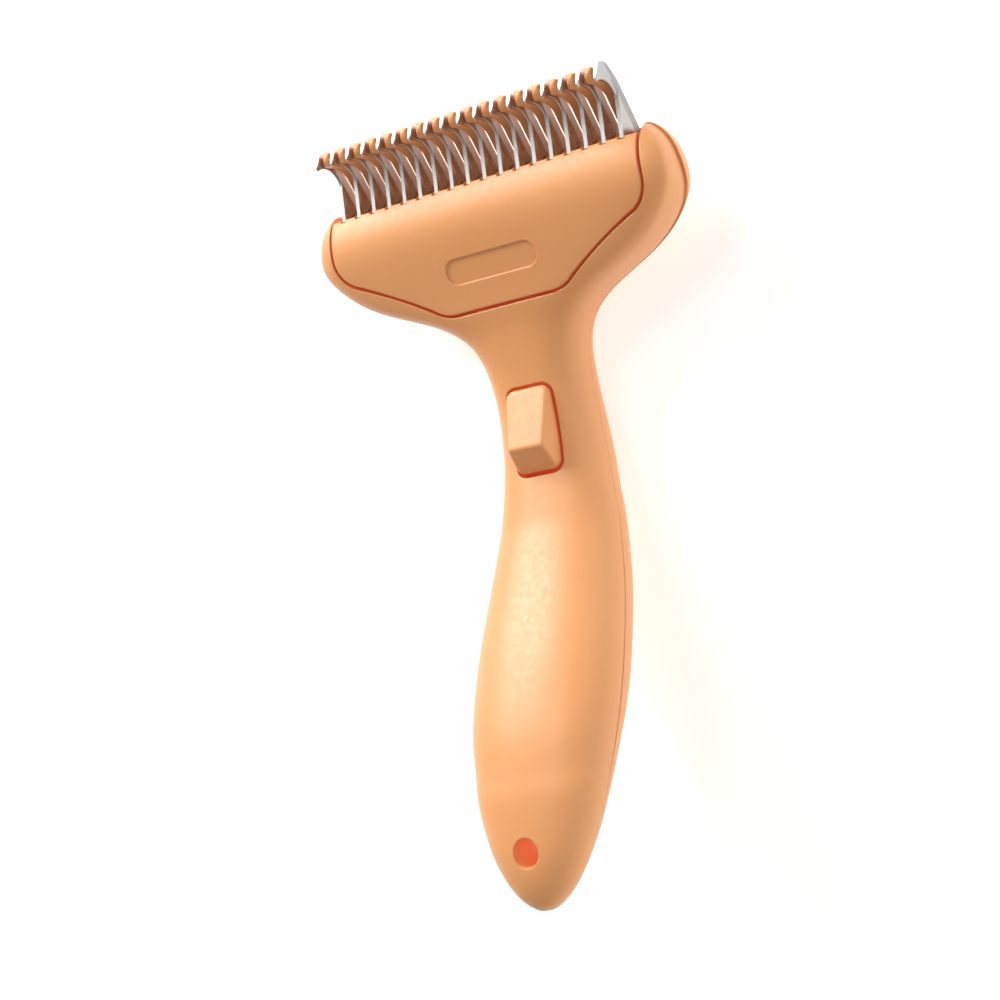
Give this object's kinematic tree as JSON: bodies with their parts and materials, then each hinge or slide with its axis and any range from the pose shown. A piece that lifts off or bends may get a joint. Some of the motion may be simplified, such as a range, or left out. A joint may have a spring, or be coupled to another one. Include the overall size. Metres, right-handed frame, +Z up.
{
  "type": "deshedding tool",
  "caption": "Hand-held deshedding rake for pets: a row of hooked steel blades on a bowed plastic handle, with a hinged panel that a thumb button pushes out to shed the hair.",
  "frame": {"origin": "centre of the underside of the tool's bounding box, with the tool lying on its bowed back", "axes": "+X along the row of blades, +Y along the tool from the hanging hole towards the blades, +Z up through the front face that carries the button and the panel"},
  "size_m": [0.09, 0.1652, 0.0507],
  "materials": {
    "shell_plastic": "satin moulded apricot-orange plastic",
    "panel_plastic": "satin moulded apricot-orange plastic",
    "button_plastic": "satin moulded apricot-orange plastic",
    "blade_steel": "polished stainless steel with a ground bevel",
    "rod_steel": "bright drawn steel",
    "carrier_steel": "pressed zinc-plated steel",
    "screw_steel": "zinc-plated steel",
    "spring_steel": "spring steel wire",
    "arm_plastic": "natural acetal",
    "spacer_plastic": "natural nylon"
  },
  "bodies": {
    "shell": {"front_shell": "shell_plastic", "rear_shell": "shell_plastic", "blade_01": "blade_steel", "blade_02": "blade_steel", "blade_03": "blade_steel", "blade_04": "blade_steel", "blade_05": "blade_steel", "blade_06": "blade_steel", "blade_07": "blade_steel", "blade_08": "blade_steel", "blade_09": "blade_steel", "blade_10": "blade_steel", "blade_11": "blade_steel", "blade_12": "blade_steel", "blade_13": "blade_steel", "blade_14": "blade_steel", "blade_15": "blade_steel", "blade_16": "blade_steel", "blade_17": "blade_steel", "blade_18": "blade_steel", "blade_spacers": "spacer_plastic", "tie_rod_front": "rod_steel", "tie_rod_rear": "rod_steel", "blade_carrier": "carrier_steel", "carrier_screws": "screw_steel", "ejector_pin": "rod_steel", "return_spring": "spring_steel", "button_pin": "rod_steel", "shell_screws": "screw_steel"},
    "ejector": {"ejector_panel": "panel_plastic", "push_arm": "arm_plastic"},
    "button": {"button": "button_plastic"}
  },
  "joints": [
    {"name": "ejector_swing", "type": "hinge", "parent": "shell", "child": "ejector", "pos_m": [0, 0.04403, 0.0152], "axis": [1, 0, 0], "range_deg": [0, 5.4], "stiffness_Nm_per_rad": 0.4, "springref_deg": -5.73, "deforming": ["return_spring"]},
    {"name": "button_press", "type": "hinge", "parent": "shell", "child": "button", "pos_m": [0, 0.02013, 0.014], "axis": [1, 0, 0], "range_deg": [0, 14.2], "stiffness_Nm_per_rad": 0.005}
  ],
  "couplings": [
    {"joint": "button_press", "follows": "ejector_swing", "ratio": 2.62}
  ]
}
